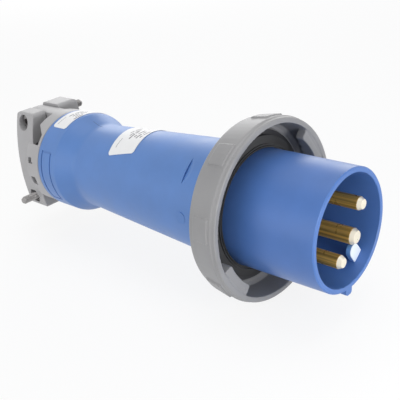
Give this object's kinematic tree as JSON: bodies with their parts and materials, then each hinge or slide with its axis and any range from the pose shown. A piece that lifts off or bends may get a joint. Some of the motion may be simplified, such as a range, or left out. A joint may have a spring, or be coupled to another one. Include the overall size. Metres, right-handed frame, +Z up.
{
  "type": "industrial pin and sleeve plug",
  "caption": "Watertight industrial pin and sleeve plug: round sleeve with brass contacts, grey bayonet locking ring, long tapered blue handle and a two-jaw rear cable clamp.",
  "frame": {"origin": "centre of the sleeve's front rim, on the plug axis", "axes": "+X out of the sleeve along the plug axis, +Z up with the cable clamp's flat side below"},
  "size_m": [0.284, 0.1136, 0.1136],
  "materials": {
    "blue_sleeve": "satin moulded nylon",
    "blue_housing": "satin moulded nylon",
    "blue_carrier": "satin moulded nylon",
    "pale_key": "satin",
    "grey_ring": "satin moulded nylon",
    "grey_clamp": "satin moulded nylon",
    "ring_retainer": "satin",
    "black_rubber": "matte",
    "brass": "turned and polished",
    "steel": "zinc plated",
    "white_label": "matt printed sticker, left bare"
  },
  "bodies": {
    "plug": {"sleeve": "blue_sleeve", "coding_key": "pale_key", "contact_carrier": "blue_carrier", "live_pin_1": "brass", "live_pin_2": "brass", "earth_pin": "brass", "terminal_screws": "steel", "carrier_screws": "steel", "ring_retainer": "ring_retainer", "face_gasket": "black_rubber", "housing_seal": "black_rubber", "main_housing": "blue_housing", "front_label": "white_label", "rear_label": "white_label", "cable_grommet": "black_rubber", "grommet_washer": "ring_retainer", "clamp_base": "grey_clamp", "base_screws": "steel"},
    "ring": {"locking_ring": "grey_ring"},
    "left_jaw": {"clamp_jaw_left": "grey_clamp", "clamp_screw_upper": "steel", "clamp_nut_lower": "steel"},
    "right_jaw": {"clamp_jaw_right": "grey_clamp", "clamp_screw_lower": "steel", "clamp_nut_upper": "steel"}
  },
  "joints": [
    {"name": "ring_turn", "type": "hinge", "parent": "plug", "child": "ring", "pos_m": [-0.06, 0, 0], "axis": [1, 0, 0], "range_deg": [0, 45]},
    {"name": "left_jaw_slide", "type": "slide", "parent": "plug", "child": "left_jaw", "axis": [0, -1, 0], "range_m": [0, 0.006]},
    {"name": "right_jaw_slide", "type": "slide", "parent": "plug", "child": "right_jaw", "axis": [0, 1, 0], "range_m": [0, 0.006]}
  ]
}
